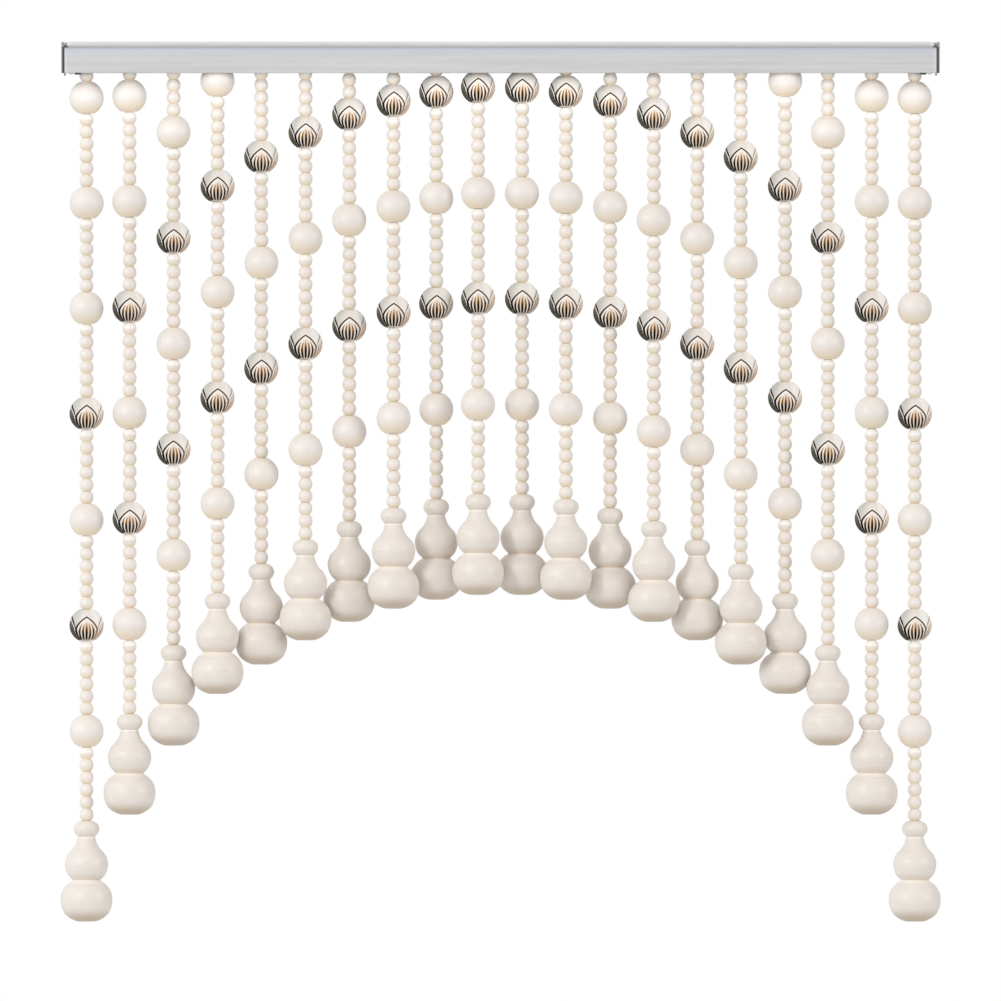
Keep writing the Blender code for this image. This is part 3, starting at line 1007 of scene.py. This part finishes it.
def add_cap(name, side, node_name):
    outer = side * RAIL_LENGTH / 2
    inner = outer - side * CAP_PLATE
    corners = rounded(
        [(-RAIL_HALF_DEPTH, -RAIL_HEIGHT), (RAIL_HALF_DEPTH, -RAIL_HEIGHT), (RAIL_HALF_DEPTH, -0.0002)], 0.0008, 4
    )
    front = [(y, min(z, -0.0002)) for y, z in front_line()]
    plate = prism_object(
        name, np.concatenate([front, corners]), min(outer, inner), max(outer, inner), "X", 35.0, 0.00045
    )
    dress(plate, CAP_PLASTIC, node_name)
    end = inner - side * 0.0153
    heel = end + side * 0.0060
    for wall, facing in (("front", -1), ("rear", 1)):
        low, high = sorted((facing * 0.0104, facing * 0.0163))
        outline = rounded(
            [
                (inner + side * 0.0008, -0.0024), (inner + side * 0.0008, -0.0276), (heel, -0.0276),
                (heel, -0.0296), (end, -0.0296), (end, -0.0024),
            ],
            0.0006,
        )
        tongue = prism_object(f"{name}_{wall}_tongue", outline, low, high, "Y", 35.0, 0.0003)
        dress(tongue, CAP_PLASTIC)
    # Two thin parts of the cap clasp the moulding's mitred end: a wedge below it, and a brace across it.
    clasps = {
        "wedge": ((0.3974, 0.0031), (0.3974, 0.0052), (0.3934, 0.0050), (0.3955, 0.0036)),
        "brace": ((0.39750, 0.0045), (0.39555, 0.0007), (0.39470, 0.0011), (0.39665, 0.0049)),
    }
    for clasp, corners in clasps.items():
        piece = prism_object(
            f"{name}_{clasp}",
            rounded([(side * a, -b) for a, b in corners], 0.0003),
            -0.0206,
            -0.0186,
            "Y",
            35.0,
            0.0002,
        )
        dress(piece, CAP_PLASTIC)
    # A round peg on a thin neck under the plate's front corner.
    peg_points, peg_quads = lathe(
        [
            (0.0001, 0.0026), (0.00045, 0.0026), (0.00045, 0.0008), (0.0007, 0.0006), (0.00082, 0.0001),
            (0.0008, -0.0004), (0.0005, -0.0008), (0.0001, -0.0009),
        ],
        16,
    )
    peg = mesh_object(
        name + "_peg",
        peg_points + np.array([side * 0.3966, -0.0150, -RAIL_HEIGHT - 0.0017]),
        peg_quads,
    )
    dress(peg, CAP_PLASTIC)
    # The bent end of the clip that holds the cap, pale metal.
    middle = np.array([inner - side * 0.0066, -0.0146, -RAIL_HEIGHT + 0.0001])
    steps, sides = 10, 8
    bend = np.linspace(0.15 * math.pi, 1.0 * math.pi, steps)
    line = np.stack([-side * 0.0020 * np.cos(bend), 0 * bend, -0.0014 * np.sin(bend)], axis=-1)
    round_ = np.arange(sides) / sides * 2 * math.pi
    outward = np.stack([-side * np.cos(bend), 0 * bend, -np.sin(bend)], axis=-1)
    thick = 0.0004 * np.where((np.arange(steps) == 0) | (np.arange(steps) == steps - 1), 0.6, 1.0)
    tube = (
        line[:, None]
        + thick[:, None, None]
        * (
            np.cos(round_)[None, :, None] * outward[:, None]
            + np.sin(round_)[None, :, None] * np.array([0, 1.0, 0])
        )
    ).reshape(-1, 3) + middle
    ends = np.array([line[0] + middle, line[-1] + middle])
    fans = [(n, (n + 1) % sides, len(tube)) for n in range(sides)]
    last = (steps - 1) * sides
    fans += [(last + (n + 1) % sides, last + n, len(tube) + 1) for n in range(sides)]
    clip = mesh_object(
        name + "_clip", np.concatenate([tube, ends]), ring_quads(steps, sides, False), tris=np.array(fans)
    )
    dress(clip, ALUMINIUM)


for string_number in range(1, COUNT + 1):
    add_string(string_number)
add_rail()
add_cap("cap_left", -1, "end_cap_left")
add_cap("cap_right", 1, "end_cap_right")


# ---------------------------------------------------------------- floor, light and background
def add_floor():
    sides = 96
    turn = np.arange(sides) / sides * 2 * math.pi
    points = np.stack([1.45 * np.cos(turn), 1.45 * np.sin(turn), 0 * turn - 1.0], axis=-1)
    points = np.concatenate([points, [[0, 0, -1.0]]])
    fans = np.array([(n, (n + 1) % sides, sides) for n in range(sides)])
    floor = mesh_object("floor", points, np.empty((0, 4), int), tris=fans)
    material, tree, shader = new_material("floor_paint")
    where = node(tree, "ShaderNodeTexCoord").outputs["Object"]
    colour = ramp(tree, noise(tree, where, 3.0, 3.0), (0.3, (0.80, 0.80, 0.80)), (0.7, (0.84, 0.84, 0.835)))
    tree.links.new(colour, shader.inputs["Base Color"])
    shader.inputs["Roughness"].default_value = 0.8
    shader.inputs["Specular IOR Level"].default_value = 0.1
    floor.data.materials.append(material)


def add_light(name, place, aim, size, power, colour=(1.0, 1.0, 1.0), tall=None, spread=180.0):
    data = bpy.data.lights.new(name, "AREA")
    data.shape = "RECTANGLE" if tall else "DISK"
    data.size = size
    if tall:
        data.size_y = tall
    data.spread = math.radians(spread)
    data.energy = power
    data.color = colour
    light = bpy.data.objects.new(name, data)
    bpy.context.scene.collection.objects.link(light)
    light.location = place
    light.rotation_euler = (Vector(aim) - Vector(place)).to_track_quat("-Z", "Y").to_euler()
    light.visible_camera = False
    return light


def add_world():
    """White behind the object, and a softer grey for the light that falls on it."""
    world = bpy.data.worlds.new("studio")
    bpy.context.scene.world = world
    world.use_nodes = True
    tree = world.node_tree
    back = tree.nodes["Background"]
    back.inputs["Color"].default_value = (1.0, 1.0, 1.0, 1.0)
    back.inputs["Strength"].default_value = 1.0
    soft = tree.nodes.new("ShaderNodeBackground")
    soft.inputs["Color"].default_value = (1.0, 1.0, 1.0, 1.0)
    split = tree.nodes.new("ShaderNodeSeparateXYZ")
    tree.links.new(tree.nodes.new("ShaderNodeTexCoord").outputs["Generated"], split.inputs[0])
    east, north, up = (Wire(tree, socket) for socket in split.outputs)
    strength = 0.662 + 0.27 * up - 0.16 * east - 0.04 * north
    tree.links.new(strength.socket, soft.inputs["Strength"])
    path = tree.nodes.new("ShaderNodeLightPath")
    blend = tree.nodes.new("ShaderNodeMixShader")
    tree.links.new(path.outputs["Is Camera Ray"], blend.inputs[0])
    tree.links.new(soft.outputs[0], blend.inputs[1])
    tree.links.new(back.outputs[0], blend.inputs[2])
    tree.links.new(blend.outputs[0], tree.nodes["World Output"].inputs["Surface"])


add_floor()
# Tall soft boxes give each bead its two broad, faint highlights.
add_light("key", (-4.5, -5.4, 1.6), (0.0, 0.0, -0.4), 1.2, 126.0, (1.0, 0.995, 0.99), tall=3.2)
add_light("side", (-6.6, -2.4, 1.6), (0.0, 0.0, -0.4), 1.2, 42.0, (0.87, 1.0, 1.04), tall=3.2)
add_light("fill", (6.0, -3.6, 1.1), (0.0, 0.0, -0.4), 1.2, 99.0, (1.0, 0.995, 0.99), tall=3.2)
# A narrow strip evens out the rail's shade on the topmost beads, and lights nothing else.
strip = add_light("under_rail", (0.0, -0.10, -0.036), (0.0, 0.0, -0.036), 0.86, 0.060, tall=0.03, spread=110.0)
strip.light_linking.receiver_collection = BEADS
add_world()
bpy.context.scene.view_settings.view_transform = "Standard"
